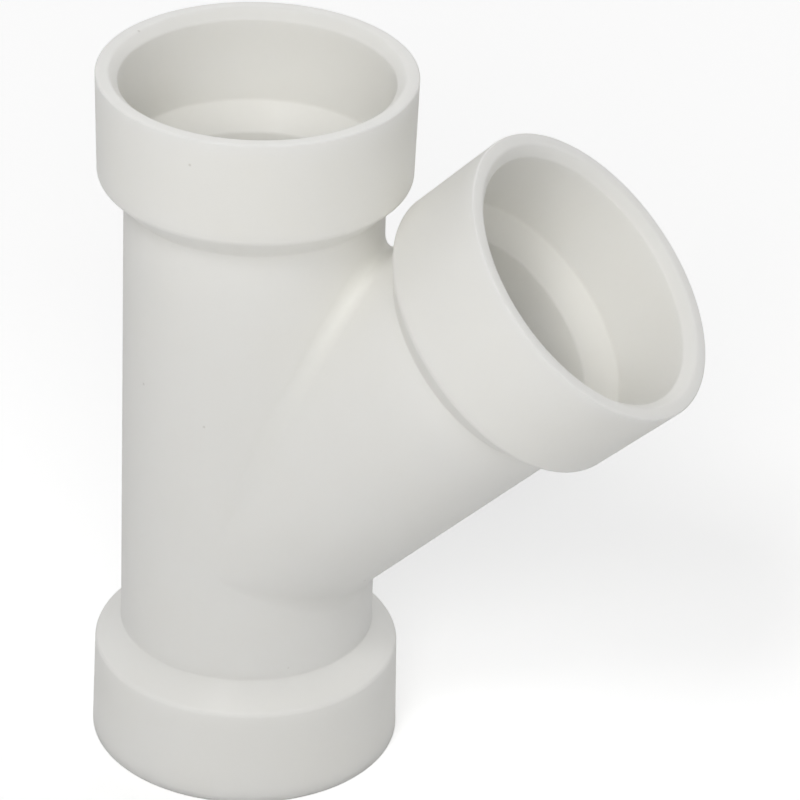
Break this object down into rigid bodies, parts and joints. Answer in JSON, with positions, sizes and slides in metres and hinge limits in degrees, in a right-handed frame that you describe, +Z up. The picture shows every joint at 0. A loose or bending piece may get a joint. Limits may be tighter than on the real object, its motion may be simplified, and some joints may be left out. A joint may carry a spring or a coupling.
{
  "type": "lateral wye pipe fitting",
  "caption": "Moulded drain pipe wye: a straight run with a socket at each end and a slanted side branch with its own socket, for cemented pipe.",
  "frame": {"origin": "centre of the lower hub's rim, on the axis of the straight run", "axes": "+Z up along the straight run, +X towards the side the branch leans to, and the branch axis in the XZ plane"},
  "size_m": [0.1103, 0.0562, 0.1339],
  "materials": {
    "moulded_pvc": "satin off-white moulded rigid PVC"
  },
  "bodies": {
    "root": {"wye_body": "moulded_pvc"}
  },
  "joints": []
}
